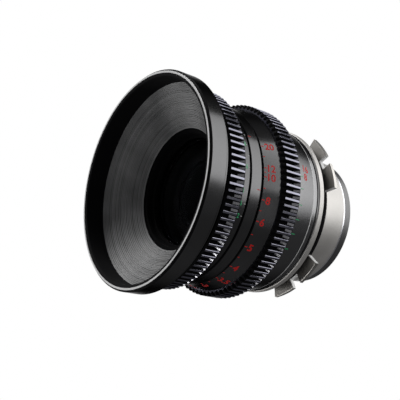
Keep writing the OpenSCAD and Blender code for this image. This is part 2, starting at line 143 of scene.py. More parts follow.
# Drive teeth in mm
TEETH = 96
TOOTH_BEVEL = 0.8
TOOTH_RAMP = 1.8
TOOTH_STEP = 0.2
TOOTH_EDGE = 0.13
TOOTH_END = 0.05
TOOTH_CAP = 0.1
TOOTH_SLOPE = 0.9
TOOTH_TOE = 0.5
BAND_GAP = 0.02
SPACE_FLOOR_HALF = 0.44
SPACE_HALF = 0.8
SPACE_MIN = 0.05
RAMP_MIN = 0.5

# Set screw holes: radius and drill ends in mm, angles in degrees
SET_HOLE_R = 1.0
IRIS_DRILL = (33.0, 38.0)
IRIS_HOLE_TURN = 200
FOCUS_DRILL = (34.0, 39.0)
FOCUS_HOLE_TURN = 52
FOCUS_HOLES = 3

# Ribs of the cone: depth in mm, and where along a rib its top ends and its groove starts and ends
RIBS_COUNT = 27
RIB_DEPTH = 0.13
RIB_EXTRA = 0.12
RIB_TOP_END = 0.36
GROOVE_START = 0.52
GROOVE_END = 0.84

# Mount lobes and their screws in mm, angles in degrees
LOBES = 4
LOBE_APART = 360 // LOBES
LOBE_TURN = 57.0
LOBE_HALF = 20.5
LOBE_EDGE = 0.22
SLOT_HALF = 2.0
SLOT_FLOOR = 1.7
HEAD_R = 2.07
HEAD_DEPTH = 1.3
SHANK_R = 1.13

# Shading and rounding limits in degrees
SHARP = 26
STRAIGHT = 12

# Largest share of an edge that a rounded corner takes
CORNER_SHARE = 0.45


# Materials

def math_node(tree, op, a, b=None):
    """Math node of two sockets or numbers."""
    n = tree.nodes.new("ShaderNodeMath")
    n.operation = op
    for i, x in enumerate((a, b)):
        if x is None:
            continue
        if isinstance(x, (int, float)):
            n.inputs[i].default_value = x
        else:
            tree.links.new(x, n.inputs[i])
    return n.outputs[0]


def turned(tree, coord, pitch):
    """Fine lathe marks: noise that runs round the axis, by the sum of radius and station."""
    xyz = tree.nodes.new("ShaderNodeSeparateXYZ")
    tree.links.new(coord, xyz.inputs[0])
    x2 = math_node(tree, "MULTIPLY", xyz.outputs[0], xyz.outputs[0])
    z2 = math_node(tree, "MULTIPLY", xyz.outputs[2], xyz.outputs[2])
    radius = math_node(tree, "SQRT", math_node(tree, "ADD", x2, z2))
    along = math_node(tree, "ADD", xyz.outputs[1], math_node(tree, "MULTIPLY", radius, 1.37))
    noise = tree.nodes.new("ShaderNodeTexNoise")
    noise.noise_dimensions = "1D"
    noise.inputs["Scale"].default_value = 1.0 / (pitch * MM)
    noise.inputs["Detail"].default_value = 3.0
    tree.links.new(along, noise.inputs["W"])
    return noise.outputs["Fac"]


def spots(tree, coord, size, detail=4.0):
    """Noise with spots of a size in mm."""
    noise = tree.nodes.new("ShaderNodeTexNoise")
    noise.inputs["Scale"].default_value = 1.0 / (size * MM)
    noise.inputs["Detail"].default_value = detail
    tree.links.new(coord, noise.inputs["Vector"])
    return noise.outputs["Fac"]


def ramp(tree, fac, low, high, c0, c1):
    """Colour from c0 to c1 while the factor goes from low to high."""
    r = tree.nodes.new("ShaderNodeValToRGB")
    r.color_ramp.elements[0].position = low
    r.color_ramp.elements[1].position = high
    r.color_ramp.elements[0].color = (*c0, 1)
    r.color_ramp.elements[1].color = (*c1, 1)
    tree.links.new(fac, r.inputs[0])
    return r.outputs[0]


def spread(tree, fac, low, high):
    """Value from low to high over the usual span of a noise."""
    m = tree.nodes.new("ShaderNodeMapRange")
    m.inputs["From Min"].default_value = 0.3
    m.inputs["From Max"].default_value = 0.7
    m.inputs["To Min"].default_value = low
    m.inputs["To Max"].default_value = high
    tree.links.new(fac, m.inputs["Value"])
    return m.outputs[0]


def surface(name, dark, light, rough, metal=0.0, specular=0.5, pitch=0.22, speck=0.5, bump=0.12,
            depth=0.004, turned_marks=True, aniso=0.0, ior=1.5, edge=1.0):
    """One procedural finish: colour, roughness and bump that follow lathe marks and fine specks."""
    m = bpy.data.materials.new(name)
    m.use_nodes = True
    t = m.node_tree
    p = t.nodes["Principled BSDF"]
    coord = t.nodes.new("ShaderNodeTexCoord").outputs["Object"]
    grain = spots(t, coord, speck)
    cloud = spots(t, coord, 14.0, 2.0)
    marks = turned(t, coord, pitch) if turned_marks else grain
    mix = math_node(t, "ADD", math_node(t, "MULTIPLY", marks, 0.5), math_node(t, "MULTIPLY", cloud, 0.5))
    t.links.new(ramp(t, mix, 0.35, 0.65, dark, light), p.inputs["Base Color"])
    level = math_node(t, "ADD", math_node(t, "MULTIPLY", marks, 0.6), math_node(t, "MULTIPLY", grain, 0.4))
    t.links.new(spread(t, level, rough[0], rough[1]), p.inputs["Roughness"])
    p.inputs["Metallic"].default_value = metal
    p.inputs["Specular IOR Level"].default_value = specular
    p.inputs["IOR"].default_value = ior
    p.inputs["Specular Tint"].default_value = (edge, edge, edge, 1)
    if aniso:
        p.inputs["Anisotropic"].default_value = aniso
        p.inputs["Anisotropic Rotation"].default_value = 0.25
        tangent = t.nodes.new("ShaderNodeTangent")
        tangent.direction_type = "RADIAL"
        tangent.axis = "Y"
        t.links.new(tangent.outputs[0], p.inputs["Tangent"])
    b = t.nodes.new("ShaderNodeBump")
    b.inputs["Strength"].default_value = bump
    b.inputs["Distance"].default_value = depth * MM
    t.links.new(level, b.inputs["Height"])
    t.links.new(b.outputs[0], p.inputs["Normal"])
    return m


def glass_finish(name, tint, reflection):
    """Clear coated glass with a weak tinted reflection."""
    m = bpy.data.materials.new(name)
    m.use_nodes = True
    t = m.node_tree
    p = t.nodes["Principled BSDF"]
    coord = t.nodes.new("ShaderNodeTexCoord").outputs["Object"]
    film = spots(t, coord, 9.0, 2.0)
    pale = tuple(min(1.0, c * 1.04) for c in tint)
    t.links.new(ramp(t, film, 0.3, 0.7, tint, pale), p.inputs["Base Color"])
    t.links.new(spread(t, film, 0.0, 0.02), p.inputs["Roughness"])
    p.inputs["Transmission Weight"].default_value = 1.0
    p.inputs["IOR"].default_value = 1.12
    p.inputs["Specular IOR Level"].default_value = 0.06
    p.inputs["Specular Tint"].default_value = (*reflection, 1)
    return m


SATIN = surface("black_satin", (0.105, 0.105, 0.106), (0.122, 0.122, 0.124), (0.18, 0.27), metal=1.0,
                pitch=0.25, speck=0.12, bump=0.06, depth=0.003, aniso=0.55, edge=0.12)
GLOSS = surface("black_gloss", (0.19, 0.19, 0.192), (0.22, 0.22, 0.223), (0.18, 0.27), metal=1.0,
                pitch=0.25, speck=0.12, bump=0.06, depth=0.003, aniso=0.55, edge=0.12)
GEAR = surface("gear_black", (0.2, 0.2, 0.238), (0.235, 0.235, 0.283), (0.17, 0.27), metal=1.0,
               pitch=0.3, speck=0.15, bump=0.08, depth=0.003, edge=0.12)
RIBS = surface("matte_grey", (0.105, 0.106, 0.107), (0.25, 0.251, 0.252), (0.45, 0.58), specular=0.35,
               pitch=0.9, speck=0.08, bump=0.2, depth=0.01)
# Black matte for the bore, cells, retainers, tube bore and glass edges; the same finish is also painted
# shade in the gear tooth spaces, on the chamfers at the gaps between rings, and on the mount hub and neck.
MATTE_AND_PAINTED_SHADE = surface("black_matte", (0.0025, 0.0025, 0.003), (0.0045, 0.0045, 0.005), (0.75, 0.9), specular=0.08,
                pitch=0.3, speck=0.08, bump=0.15, depth=0.006)
RIM = surface("bright_aluminium", (0.6, 0.6, 0.6), (0.7, 0.7, 0.7), (0.42, 0.55), metal=0.1, pitch=0.12,
              speck=0.1, bump=0.05, depth=0.002)
STEEL = surface("brushed_steel", (0.47, 0.457, 0.437), (0.6, 0.585, 0.563), (0.44, 0.55), metal=0.8,
                pitch=0.1, speck=0.2, bump=0.05, depth=0.002)
PLATE = surface("plate_steel", (0.36, 0.345, 0.325), (0.5, 0.485, 0.46), (0.3, 0.42), metal=1.0, pitch=0.14,
                speck=0.2, bump=0.06, depth=0.002)
MILLED = surface("milled_steel", (0.82, 0.82, 0.81), (0.92, 0.92, 0.91), (0.5, 0.62), metal=0.1, speck=0.12,
                 bump=0.1, depth=0.003, turned_marks=False)
TURNED = surface("turned_steel", (0.64, 0.635, 0.625), (0.76, 0.755, 0.745), (0.45, 0.58), metal=0.2,
                 pitch=0.14, speck=0.12, bump=0.08, depth=0.003)
SCREW = surface("screw_steel", (0.38, 0.37, 0.36), (0.52, 0.51, 0.5), (0.25, 0.38), metal=1.0, speck=0.3,
                bump=0.08, depth=0.004, turned_marks=False)
DARK = surface("dark_anodised", (0.008, 0.008, 0.009), (0.016, 0.016, 0.018), (0.4, 0.52), specular=0.3,
               pitch=0.3)
BAFFLE = surface("black_baffle", (0.008, 0.008, 0.009), (0.014, 0.014, 0.016), (0.36, 0.46), pitch=0.3,
                 ior=2.1)
OXIDE = surface("black_oxide", (0.02, 0.02, 0.022), (0.045, 0.045, 0.048), (0.3, 0.42), metal=0.6,
                speck=0.3, turned_marks=False)
BLADE = surface("blade_black", (0.005, 0.005, 0.0055), (0.011, 0.011, 0.012), (0.5, 0.62), specular=0.2,
                speck=0.4, turned_marks=False)
GLINT = surface("bare_metal_edge", (0.6, 0.6, 0.63), (0.78, 0.78, 0.82), (0.22, 0.34), metal=1.0, speck=0.2,
                bump=0.06, depth=0.003, turned_marks=False)
BRASS = surface("brass", (0.47, 0.32, 0.12), (0.6, 0.43, 0.18), (0.24, 0.36), metal=1.0, pitch=0.15)
RED = surface("red_enamel", (0.52, 0.012, 0.011), (0.64, 0.02, 0.018), (0.45, 0.6), specular=0.25,
              speck=0.3, turned_marks=False)
GREEN = surface("green_enamel", (0.012, 0.26, 0.09), (0.03, 0.4, 0.15), (0.32, 0.45),
                speck=0.3, turned_marks=False)
WHITE = surface("white_enamel", (0.42, 0.43, 0.42), (0.52, 0.52, 0.51), (0.45, 0.6), specular=0.2,
                speck=0.3, turned_marks=False)
FRONT_GLASS = glass_finish("front_glass", (0.72, 0.74, 0.76), (0.45, 0.6, 1.0))
REAR_GLASS = glass_finish("rear_glass", (0.94, 0.95, 0.93), (1.0, 0.7, 0.45))


# Meshes

def at(r, a, z):
    """World point of radius, angle in degrees and station in mm."""
    a = math.radians(a)
    return Vector((r * math.cos(a), -z, r * math.sin(a))) * MM


def add(name, mesh, body, slot, *replaced):
    """Object of a mesh that rides on a body and may replace CAD nodes; the slot argument is not used."""
    o = bpy.data.objects.new(name, mesh)
    bpy.context.scene.collection.objects.link(o)
    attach(o, body)
    if replaced:
        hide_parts(*replaced)
    return o


def rounded(points, closed=True, steps=3):
    """Round a profile of (r, z, corner radius, material) to (r, z, normal r, normal z, material)."""
    out = []
    n = len(points)
    for i, (r, z, f, m) in enumerate(points):
        p = Vector((r, z))
        if not closed and i in (0, n - 1):
            q = Vector(points[1 if i == 0 else n - 2][:2])
            t = (q - p) if i == 0 else (p - q)
            out.append((r, z, 0.0, -1.0 if t.x > 0 else 1.0, m))
            continue
        t1 = p - Vector(points[i - 1][:2])
        t2 = Vector(points[(i + 1) % n][:2]) - p
        l1, l2 = t1.length, t2.length
        t1.normalize()
        t2.normalize()
        turn = math.atan2(t1.x * t2.y - t1.y * t2.x, t1.dot(t2))
        n1 = Vector((t1.y, -t1.x))
        if abs(turn) < math.radians(STRAIGHT):
            nn = (n1 + Vector((t2.y, -t2.x))).normalized()
            out.append((r, z, nn.x, nn.y, m))
            continue
        reach = min(f * abs(math.tan(turn / 2)), CORNER_SHARE * l1, CORNER_SHARE * l2)
        f = reach / abs(math.tan(turn / 2))
        side = 1.0 if turn > 0 else -1.0
        centre = p - t1 * reach - n1 * f * side
        for k in range(steps + 1):
            w = turn * k / steps
            c, s = math.cos(w), math.sin(w)
            nn = Vector((n1.x * c - n1.y * s, n1.x * s + n1.y * c))
            q = centre + nn * f * side
            out.append((q.x, q.y, nn.x, nn.y, m))
    return out


def lathe(name, points, mats, body, slot, *replaced, closed=True, steps=STEPS, corner_steps=3):
    """Solid of revolution with exact normals and every corner rounded; an open profile ends on the axis."""
    prof = rounded(points, closed, corner_steps)
    nv = len(prof)
    verts, normals, faces, index = [], [], [], []
    for j in range(steps):
        c, s = math.cos(TAU * j / steps), math.sin(TAU * j / steps)
        for r, z, nr, nz, _ in prof:
            verts.append((r * c * MM, -z * MM, r * s * MM))
            normals.append((nr * c, -nz, nr * s))
    first, last = (0, nv) if closed else (1, nv - 2)
    for j in range(steps):
        k = (j + 1) % steps
        for i in range(first, last):
            i2 = (i + 1) % nv
            faces.append((j * nv + i, k * nv + i, k * nv + i2, j * nv + i2))
            index.append(prof[i][4])
        if not closed:
            faces.append((0, k * nv + 1, j * nv + 1))
            faces.append((j * nv + nv - 2, k * nv + nv - 2, nv - 1))
            index += [prof[0][4], prof[nv - 2][4]]
    if not closed:
        used = sorted({v for f in faces for v in f})
        place = {v: n for n, v in enumerate(used)}
        verts = [verts[v] for v in used]
        normals = [normals[v] for v in used]
        faces = [tuple(place[v] for v in f) for f in faces]
    mesh = bpy.data.meshes.new(name)
    mesh.from_pydata(verts, [], faces)
    for m in mats:
        mesh.materials.append(m)
    mesh.polygons.foreach_set("material_index", index)
    mesh.polygons.foreach_set("use_smooth", [True] * len(faces))
    mesh.normals_split_custom_set_from_vertices(normals)
    mesh.update()
    return add(name, mesh, body, slot, *replaced)


def flat(r, z, m):
    """Row of a gear that has no tooth space."""
    return (r, z, r, z, m)


def gear(name, rows, mats, body, slot, *replaced, holes=()):
    """Ring with tooth spaces: each row gives the tooth top, the space floor and the next material."""
    pitch = 360.0 / TEETH
    floor_a = math.degrees(SPACE_FLOOR_HALF / ROOT_R)
    wall_a = math.degrees(SPACE_HALF / TIP_R)
    top_a = wall_a + math.degrees(TOOTH_EDGE / TIP_R)
    columns = []
    for i in range(TEETH):
        a = i * pitch
        b = a + pitch
        columns += [(a + floor_a, "floor"), (a + wall_a, "wall"), (a + top_a, "top"), (a + pitch / 2, "top"),
                    (b - top_a, "top"), (b - wall_a, "wall"), (b - floor_a, "floor")]
    verts, faces, index = [], [], []
    nv = len(rows)
    for a, kind in columns:
        for rt, zt, rf, zf, _ in rows:
            if kind == "floor":
                verts.append(at(rf, a, zf))
            elif kind == "wall":
                edge_r = rt - TOOTH_EDGE
                verts.append(at(max(edge_r, rf), a, zt if edge_r > rf else zf))
            else:
                verts.append(at(rt, a, zt))
    for j in range(len(columns)):
        k = (j + 1) % len(columns)
        for i in range(nv):
            i2 = (i + 1) % nv
            faces.append((j * nv + i, k * nv + i, k * nv + i2, j * nv + i2))
            kinds = columns[j][1] + columns[k][1]
            cut = all(rows[e][0] > rows[e][2] + SPACE_MIN for e in (i, i2))
            rise = kinds == "floorfloor" and rows[i2][2] < rows[i][2] - RAMP_MIN
            # Floors and flanks of the tooth spaces are black matte, which is painted shade in the spaces;
            # the rear run-out ramps are bare metal.
            if cut and "floor" in kinds:
                index.append(3 if rise else 2)
            else:
                index.append(rows[i][4])
    mesh = bpy.data.meshes.new(name)
    mesh.from_pydata(verts, [], faces)
    for m in mats:
        mesh.materials.append(m)
    mesh.polygons.foreach_set("material_index", index)
    mesh.update()
    if holes:
        mesh = drilled(mesh, holes, mats)
        mesh.name = name
    smooth(mesh, SHARP)
    return add(name, mesh, body, slot, *replaced)


def smooth(mesh, degrees):
    """Smooth shading with sharp edges past an angle."""
    mesh.polygons.foreach_set("use_smooth", [True] * len(mesh.polygons))
    mesh.set_sharp_from_angle(angle=math.radians(degrees))
    mesh.update()


def bar_mesh(holes):
    """Round cutters along a radius, one for each (angle, station, radius, inner end, outer end)."""
    verts, faces = [], []
    count = 40
    for a, z, r, r0, r1 in holes:
        base = len(verts)
        c = math.radians(a)
        out = Vector((math.cos(c), 0, math.sin(c)))
        side = Vector((-math.sin(c), 0, math.cos(c)))
        for end in (r0, r1):
            for i in range(count):
                w = TAU * i / count
                p = out * end + side * r * math.cos(w) + Vector((0, -z - r * math.sin(w), 0))
                verts.append(p * MM)
        faces.append(tuple(base + i for i in range(count)))
        faces.append(tuple(base + count + i for i in reversed(range(count))))
        for i in range(count):
            k = (i + 1) % count
            faces.append((base + k, base + i, base + count + i, base + count + k))
    mesh = bpy.data.meshes.new("cutter")
    mesh.from_pydata(verts, [], faces)
    mesh.update()
    return mesh


def drilled(mesh, holes, mats):
    """Copy of a mesh with round holes cut into it."""
    scene = bpy.context.scene
    body = bpy.data.objects.new("drill_body", mesh)
    cutter = bpy.data.objects.new("drill_cutter", bar_mesh(holes))
    for m in mats:
        cutter.data.materials.append(m)
    scene.collection.objects.link(body)
    scene.collection.objects.link(cutter)
    mod = body.modifiers.new("cut", "BOOLEAN")
    mod.operation = "DIFFERENCE"
    mod.solver = "EXACT"
    mod.object = cutter
    bpy.context.view_layer.update()
    cut = bpy.data.meshes.new_from_object(body.evaluated_get(bpy.context.evaluated_depsgraph_get()))
    bpy.data.objects.remove(body)
    bpy.data.objects.remove(cutter)
    return cut


# Front barrel: satin outside, bright front face, matte black bore
lathe("front_barrel_shell", [
    (BORE_R, Z_CONE1 - REBATE, 0.05, 0), (BORE_R + REBATE, Z_CONE1 - REBATE, 0.1, 0),
    (BORE_R + REBATE, Z_BAND, 0.05, 0),
    (FRONT_R - BACK_BEVEL, Z_BAND, 0.08, 0), (FRONT_R, Z_BAND + BACK_BEVEL, 0.12, 0),
    (FRONT_R, Z_FRONT - FRONT_BEVEL, 0.15, 2), (FRONT_R - FRONT_BEVEL, Z_FRONT, 0.08, 1),
    (BORE_R + RIM_START, Z_FRONT, 0.04, 2), (BORE_R + LIP_STEP, Z_FRONT - LIP_DROP, 0.06, 2),
    (BORE_R, Z_FRONT - LIP_DEPTH, 0.06, 2)],
    [SATIN, RIM, MATTE_AND_PAINTED_SHADE], "barrel", "black_satin", "front_barrel")

# Ribbed cone in the hood, with ribs of uneven depth
cone = [(HOLE_R, Z_CONE0, 0.05, 1), (HOLE_R, Z_LAND, 0.05, 1), (CELL_R, Z_LAND, 0.05, 1),
        (CELL_R, Z_SPIGOT, 0.05, 1), (SPIGOT_R, Z_SPIGOT, 0.05, 1), (SPIGOT_R, Z_FLANGE0, 0.05, 1),
        (FLANGE_R, Z_FLANGE0, 0.05, 1), (FLANGE_R, Z_FLANGE1, 0.05, 1), (BORE_R, Z_CONE1 - REBATE, 0.05, 1)]
for i in range(RIBS_COUNT):
    deep = RIB_DEPTH + RIB_EXTRA * (i * 5 % 7) / 6
    for k, drop in ((0.0, 0.0), (RIB_TOP_END, 0.0), (GROOVE_START, deep), (GROOVE_END, deep)):
        w = (i + k) / RIBS_COUNT
        cone.append((BORE_R - (BORE_R - HOLE_R) * w, Z_CONE1 - (Z_CONE1 - Z_CONE0) * w - drop, 0.03, 0))
lathe("front_cone_ribbed", cone, [RIBS, MATTE_AND_PAINTED_SHADE], "barrel", "matte_grey", "front_cone", corner_steps=1)

# Iris ring: slanted scale band and drive gear with run-out ramps
gear("iris_gear_ring", [
    flat(MAIN_R + RUN, Z_IRIS0, 0),
    flat(BAND_I0 - BAND_BEVEL, Z_IRIS0, 0),
    flat(BAND_I0, Z_IRIS0 + BAND_BEVEL, 0),
    flat(BAND_I1, Z_IRIS_T0 - TOOTH_BEVEL, 1),
    flat(TIP_R - TOOTH_BEVEL, Z_IRIS_T0 - TOOTH_BEVEL, 1),
    (TIP_R, Z_IRIS_T0, TIP_R - TOOTH_STEP, Z_IRIS_T0, 1),
    (TIP_R, Z_IRIS_T0 + TOOTH_RAMP, ROOT_R, Z_IRIS_T0 + TOOTH_RAMP, 1),
    (TIP_R, Z_IRIS_T1 - TOOTH_END, ROOT_R, Z_IRIS_T1 - TOOTH_END, 1),
    (TIP_R, Z_IRIS_T1, TIP_R - TOOTH_STEP, Z_IRIS_T1, 1),
    # The front chamfer next to the front barrel is black matte, which is painted shade in the gap.
    flat(TIP_R, Z_IRIS_T1 + TOOTH_CAP, 2),
    flat(TIP_R - RING_BEVEL, Z_IRIS1, 1),
    flat(IRIS_LIP_R, Z_IRIS1, 1),
    flat(MAIN_R + RUN, Z_IRIS_LIP, 1)],
    [SATIN, GEAR, MATTE_AND_PAINTED_SHADE, GLINT], "iris", "gear_black", "iris_ring",
    holes=[(IRIS_HOLE_TURN, Z_IRIS_HOLE, SET_HOLE_R, *IRIS_DRILL)])

# Fixed index ring between the two bands
lathe("index_ring_band", [
    (MAIN_R, Z_INDEX0, 0.03, 0), (INDEX_R - INDEX_BEVEL, Z_INDEX0, 0.06, 0),
    # The front chamfer and front face next to the iris ring are black matte, which is painted shade in the
    # gap.
    (INDEX_R, Z_INDEX0 + INDEX_BEVEL, 0.08, 0), (INDEX_R, Z_INDEX1 - INDEX_BEVEL, 0.02, 1),
    (INDEX_R - INDEX_BEVEL, Z_INDEX1, 0.06, 1), (MAIN_R, Z_INDEX1, 0.03, 0)],
    [SATIN, MATTE_AND_PAINTED_SHADE], "barrel", "black_satin", "index_ring")

# Focus ring: drive gear, slanted scale band and its stop groove
gear("focus_gear_ring", [
    flat(FOCUS_IR, Z_FOCUS0, 1),
    flat(STOP_R0, Z_FOCUS0, 1),
    flat(STOP_R0, Z_FOCUS0 + STOP_DEPTH, 1),
    flat(STOP_R1, Z_FOCUS0 + STOP_DEPTH, 1),
    flat(STOP_R1, Z_FOCUS0, 1),
    flat(TIP_R - TOOTH_BEVEL, Z_FOCUS0, 1),
    (TIP_R, Z_FOCUS_T0, TIP_R - TOOTH_STEP, Z_FOCUS_T0, 1),
    (TIP_R, Z_FOCUS_T0 + TOOTH_RAMP, ROOT_R, Z_FOCUS_T0 + TOOTH_RAMP, 1),
    # The front slope of the teeth is black matte, which is painted shade.
    (TIP_R, Z_FOCUS_T1 - TOOTH_SLOPE, ROOT_R, Z_FOCUS_T1 - TOOTH_SLOPE, 2),
    (ROOT_R + TOOTH_TOE, Z_FOCUS_T1, ROOT_R, Z_FOCUS_T1, 1),
    flat(BAND_F1, Z_FOCUS_T1 + BAND_GAP, 0),
    # The front chamfer of the band next to the index ring is black matte, which is painted shade in the gap.
    flat(BAND_F0, Z_FOCUS1 - EDGE_BEVEL, 2),
    flat(BAND_F0 - EDGE_BEVEL, Z_FOCUS1, 0),
    flat(FOCUS_LIP_R, Z_FOCUS1, 0),
    flat(FOCUS_LIP_R, Z_FOCUS1 - FOCUS_LIP, 0),
    flat(FOCUS_IR, Z_FOCUS1 - FOCUS_LIP, 1)],
    [SATIN, GEAR, MATTE_AND_PAINTED_SHADE, GLINT], "focus", "gear_black", "focus_ring",
    holes=[(FOCUS_HOLE_TURN + 360 // FOCUS_HOLES * k, Z_FOCUS_HOLE, SET_HOLE_R, *FOCUS_DRILL)
           for k in range(FOCUS_HOLES)])

# Rear barrel with a bright line at its rear edge
lathe("rear_barrel_shell", [
    (REAR_IR, Z_SHIM, 0.05, 0), (REAR_STEP_R, Z_SHIM, 0.05, 0), (REAR_STEP_R, Z_STEP, 0.04, 0),
    (REAR_R0 - BAND_BEVEL, Z_STEP, 0.06, 1), (REAR_R0, Z_STEP + BAND_BEVEL, 0.1, 1),
    (REAR_R0 + REAR_LINE_RISE, Z_STEP + REAR_LINE, 0.05, 0), (REAR_R1, Z_REAR - EDGE_BEVEL, 0.12, 0),
    (REAR_R1 - EDGE_BEVEL, Z_REAR, 0.08, 0), (MAIN_R, Z_REAR, 0.05, 0),
    (MAIN_R, Z_FLOOR, 0.05, 0), (REAR_IR, Z_FLOOR, 0.05, 0)],
    [GLOSS, RIM], "barrel", "black_satin", "rear_barrel")

# Back-focus shim
lathe("shim_ring_band", [
    (REAR_IR, Z_RING, 0.03, 0), (SHIM_R, Z_RING, 0.08, 0),
    (SHIM_R, Z_SHIM, 0.08, 0), (REAR_IR, Z_SHIM, 0.03, 0)],
    [SATIN], "barrel", "steel", "shim_ring")


# Steel mount: lobed plate with its screw holes, ring and locating tube
HUB_STEPS = 20
ARC_STEPS = 14


def lobed_outline(inset):
    """Outline of the lobes and hub with an index slot in each lobe, drawn in by an inset."""
    pts = []
    slot_w = SLOT_HALF + inset
    for lobe in range(LOBES):
        mid = LOBE_TURN + LOBE_APART * lobe
        ro = LOBE_R - inset
        rh = HUB_R - inset
        da = math.degrees(inset / LOBE_R)
        gap = math.degrees(math.asin(slot_w / ro))
        floor_r = HUB_R + SLOT_FLOOR - inset
        a0, a1 = mid - LOBE_HALF + da, mid + LOBE_HALF - da
        prev = mid - LOBE_APART + LOBE_HALF - da
        pts += [(rh, prev + (a0 - prev) * i / HUB_STEPS) for i in range(HUB_STEPS + 1)]
        pts += [(ro, a0 + (mid - gap - a0) * i / ARC_STEPS) for i in range(ARC_STEPS + 1)]
        fa = math.degrees(math.atan2(slot_w, floor_r))
        corner_r = math.hypot(floor_r, slot_w)
        pts += [(corner_r, mid - fa), (corner_r, mid + fa)]
        pts += [(ro, mid + gap + (a1 - mid - gap) * i / ARC_STEPS) for i in range(ARC_STEPS + 1)]
    return pts


def mount_mesh():
    """Lobed plate with a hole for the tube and four countersunk screw holes."""
    bm = bmesh.new()
    levels = [(LOBE_EDGE, 0.0), (0.0, LOBE_EDGE), (0.0, LOBE_T - LOBE_EDGE), (LOBE_EDGE, LOBE_T)]
    loops = [[bm.verts.new(at(r, a, z)) for r, a in lobed_outline(inset)] for inset, z in levels]
    n = len(loops[0])
    run = n // LOBES
    slot = HUB_STEPS + ARC_STEPS + 1
    milled = (HUB_STEPS, slot, slot + 1, slot + 2, run - 1)
    for lower, upper in zip(loops, loops[1:]):
        for i in range(n):
            k = (i + 1) % n
            face = bm.faces.new((lower[i], lower[k], upper[k], upper[i]))
            # The hub arcs between the lobes are black matte, which is painted shade; the lobe ends and slot
            # faces are milled steel, and the rest is plate steel.
            face.material_index = 1 if i % run < HUB_STEPS else 2 if i % run in milled else 0
    count = 128
    around = 32
    heads = []
    for k in range(LOBES):
        c = math.radians(LOBE_TURN + LOBE_APART * k)
        cx, cz = SCREW_R * math.cos(c), SCREW_R * math.sin(c)
        rings = []
        for r, z in ((HEAD_R, 0.0), (SHANK_R, HEAD_DEPTH), (SHANK_R, LOBE_T)):
            turns = [TAU * i / around for i in range(around)]
            places = [Vector((cx + r * math.cos(w), -z, cz + r * math.sin(w))) * MM for w in turns]
            rings.append([bm.verts.new(place) for place in places])
        for lower, upper in zip(rings, rings[1:]):
            for i in range(around):
                j = (i + 1) % around
                bm.faces.new((lower[i], upper[i], upper[j], lower[j]))
        heads.append(rings)
    inner = [[bm.verts.new(at(PLATE_BORE_R, 360.0 * i / count, z)) for i in range(count)]
             for z in (0.0, LOBE_T)]
    for level, outline in ((0, loops[0]), (1, loops[-1])):
        rims = [outline, inner[level]] + [h[0 if level == 0 else -1] for h in heads]
        edges = []
        for rim in rims:
            for i in range(len(rim)):
                pair = (rim[i], rim[(i + 1) % len(rim)])
                edges.append(bm.edges.get(pair) or bm.edges.new(pair))
        bmesh.ops.triangle_fill(bm, use_beauty=True, use_dissolve=False, edges=edges)
    for i in range(count):
        k = (i + 1) % count
        bm.faces.new((inner[0][i], inner[0][k], inner[1][k], inner[1][i]))
    bmesh.ops.recalc_face_normals(bm, faces=bm.faces[:])
    mesh = bpy.data.meshes.new("mount_plate")
    bm.to_mesh(mesh)
    bm.free()
    for m in (PLATE, MATTE_AND_PAINTED_SHADE, MILLED):
        mesh.materials.append(m)
    smooth(mesh, SHARP)
    return mesh


add("mount_lobe_plate", mount_mesh(), "barrel", "steel", "pl_mount")
lathe("mount_ring_band", [
    # The neck between the lobe plate and the ring is black matte, which is painted shade in the groove; the
    # rear face of the ring is turned steel.
    (TUBE_IR, LOBE_T, 0.03, 1), (HUB_R, LOBE_T, 0.05, 1), (HUB_R, Z_GROOVE, 0.05, 2),
    (MOUNT_R - MOUNT_BEVEL, Z_GROOVE, 0.08, 0), (MOUNT_R, Z_GROOVE + MOUNT_BEVEL, 0.1, 0),
    (MOUNT_R, Z_RING - MOUNT_BEVEL, 0.1, 0), (MOUNT_R - MOUNT_BEVEL, Z_RING, 0.08, 0),
    (TUBE_IR, Z_RING, 0.03, 0)],
    [STEEL, MATTE_AND_PAINTED_SHADE, TURNED], "barrel", "steel", "pl_mount")
lathe("mount_tube", [
    (TUBE_IR, Z_TUBE, 0.05, 0), (TUBE_R, Z_TUBE, TUBE_ROUND, 2), (TUBE_R, Z_TUBE + TUBE_EDGE, 0.1, 0),
    (TUBE_R, -2 * TUBE_RELIEF, 0.05, 0), (TUBE_R - TUBE_RELIEF, -TUBE_RELIEF, 0.05, 0),
    (TUBE_R - TUBE_RELIEF, LOBE_T, 0.03, 0), (TUBE_IR, LOBE_T, 0.05, 1)],
    [STEEL, MATTE_AND_PAINTED_SHADE, GLINT], "barrel", "steel", "pl_mount", corner_steps=6)

# Black ring at the rear end of the tube
lathe("rear_ring_band", [
    (RING_IR, Z_END, 0.15, 0), (RING_R - RING_BEVEL, Z_END, 0.2, 0), (RING_R, Z_END + RING_BEVEL, 0.25, 0),
    (RING_R, Z_TUBE, 0.04, 0), (TUBE_IR, Z_TUBE, 0.03, 0), (TUBE_IR, Z_RING_FRONT, 0.03, 0),
    (RING_IR, Z_RING_FRONT, 0.1, 0)],
    [BAFFLE], "barrel", "black_matte", "rear_ring")


# Glass elements with polished spherical faces and ground edges
def sag(curve, r):
    """Depth of a sphere of radius curve at the distance r from its axis."""
    return curve - math.sqrt(curve * curve - r * r)


def lens(name, finish, radius, z_rear, edge, curves, body, slot, replaced):
    """Element between two spherical faces; a curve is positive when its face bulges outward."""
    count = 24
    rear_curve, front_curve = curves
    pts = []
    for i in range(count + 1):
        r = radius * i / count
        drop = sag(abs(rear_curve), radius) - sag(abs(rear_curve), r)
        pts.append((r, z_rear - math.copysign(drop, rear_curve), GLASS_ROUND, 0 if i < count else 1))
    for i in range(count, -1, -1):
        r = radius * i / count
        drop = sag(abs(front_curve), radius) - sag(abs(front_curve), r)
        pts.append((r, z_rear + edge + math.copysign(drop, front_curve), GLASS_ROUND, 0))
    return lathe(name, pts, [finish, MATTE_AND_PAINTED_SHADE], body, slot, replaced, closed=False, steps=128)


